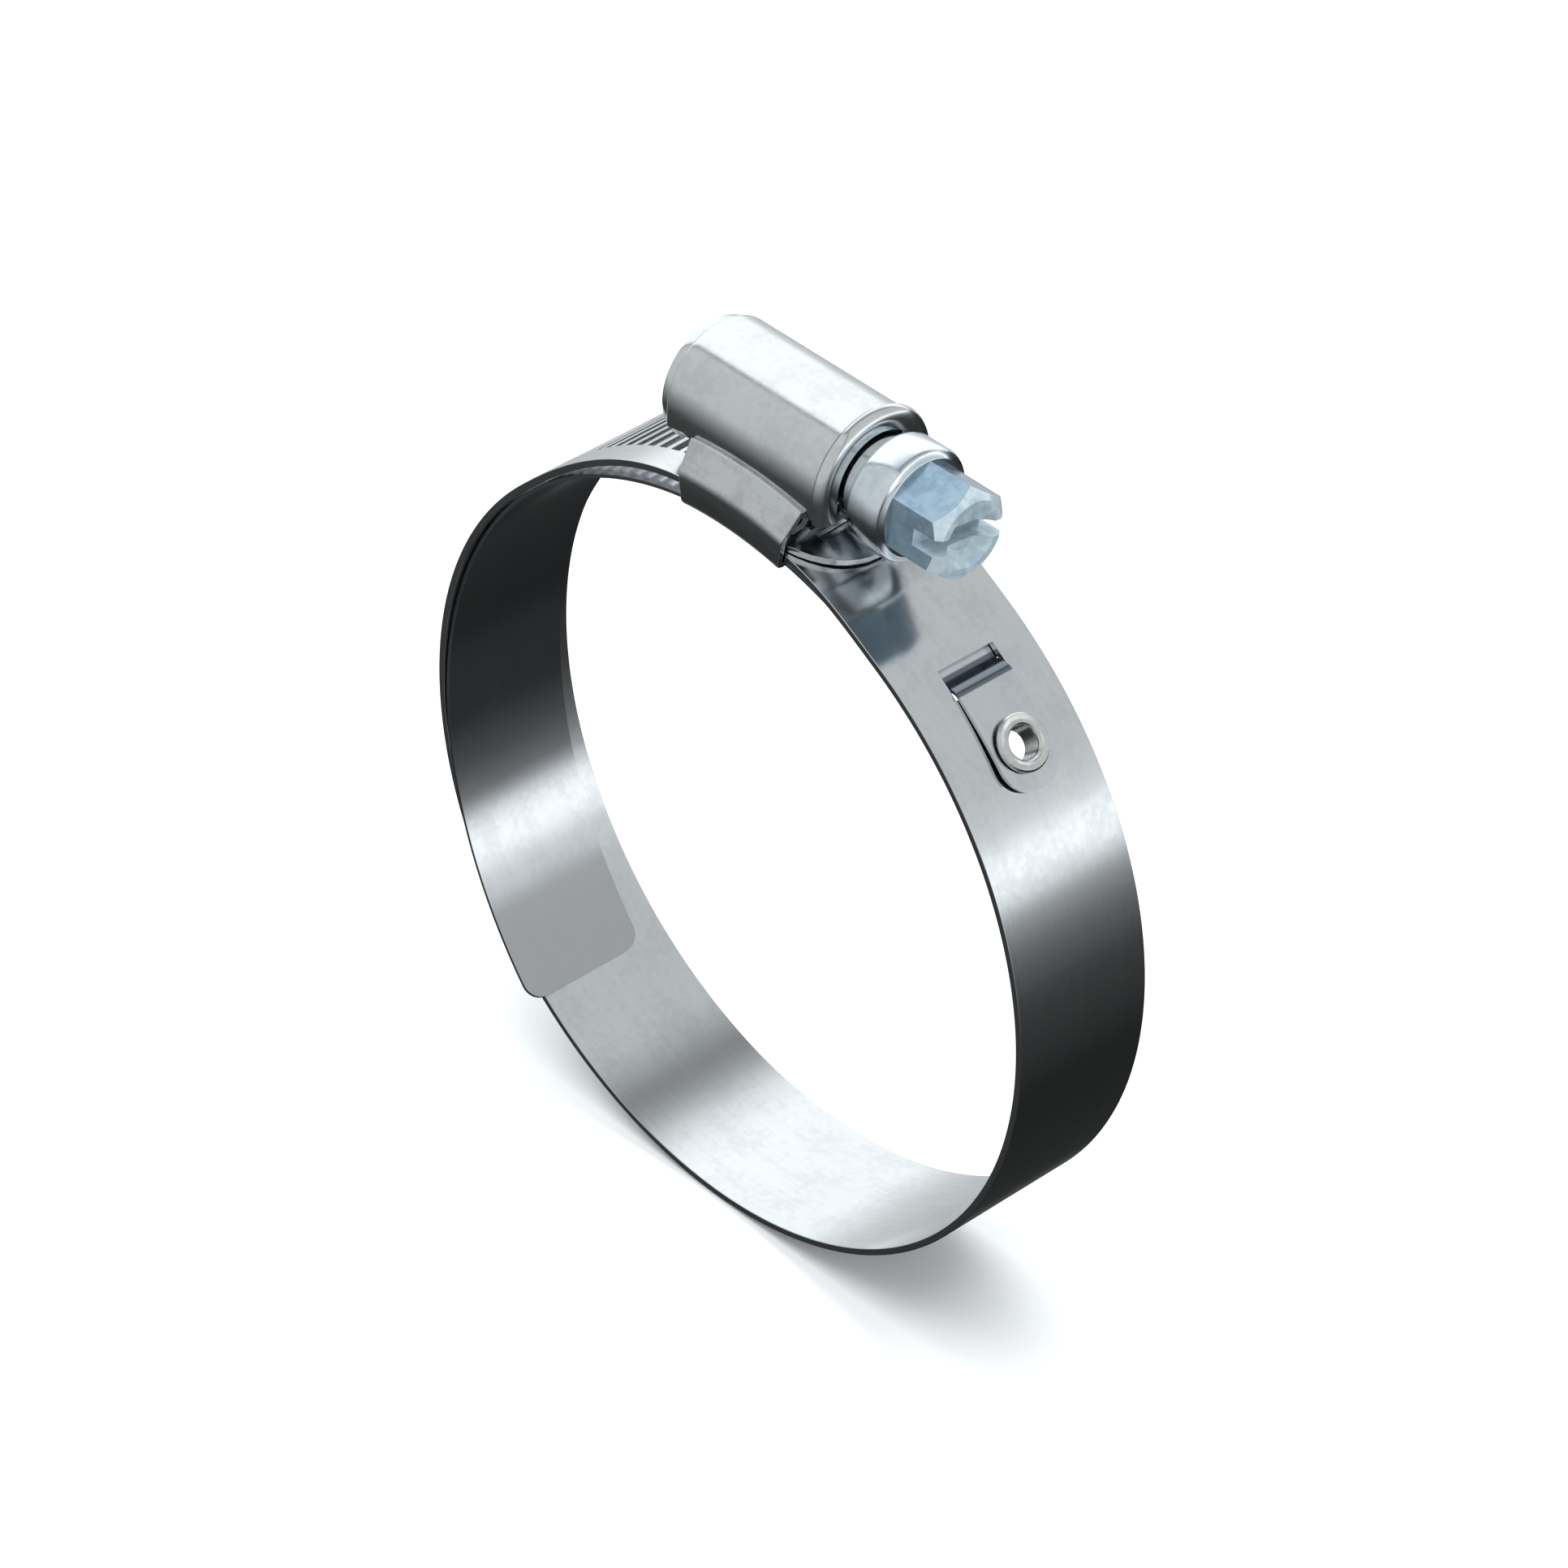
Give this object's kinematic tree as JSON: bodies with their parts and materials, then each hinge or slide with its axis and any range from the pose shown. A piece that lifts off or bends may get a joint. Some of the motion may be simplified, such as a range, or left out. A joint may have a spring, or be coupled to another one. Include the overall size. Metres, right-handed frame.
{
  "type": "hose clamp",
  "caption": "Lined worm-drive hose clamp: slotted steel band, inner liner, saddle, arched housing and a slotted hex-head screw.",
  "frame": {"origin": "centre of the ring, on the hose axis, in the middle of the band's width", "axes": "+Y along the hose axis, +Z from the hose axis to the worm housing, +X along the screw towards its head"},
  "size_m": [0.0726, 0.0168, 0.0846],
  "materials": {
    "band": "cold-rolled stainless strip, bright",
    "liner": "thin stainless strip, bright",
    "eyelet": "satin stainless",
    "saddle": "pressed stainless, satin",
    "housing": "pressed stainless, satin",
    "screw": "bright zinc plate with a faint blue tint"
  },
  "bodies": {
    "clamp": {"band": "band", "liner": "liner", "eyelet": "eyelet", "saddle": "saddle", "housing": "housing"},
    "screw": {"screw": "screw"},
    "band_tail": {"band_tail": "band"}
  },
  "joints": [
    {"name": "screw_turn", "type": "hinge", "parent": "clamp", "child": "screw", "pos_m": [0, 0, 0.04205], "axis": [-1, 0, 0], "range_deg": [0, 1800]},
    {"name": "band_feed", "type": "hinge", "parent": "clamp", "child": "band_tail", "pos_m": [0, 0, 0], "axis": [0, 1, 0], "range_deg": [0, 12.2]}
  ],
  "couplings": [
    {"joint": "band_feed", "follows": "screw_turn", "ratio": 0.0067286}
  ]
}
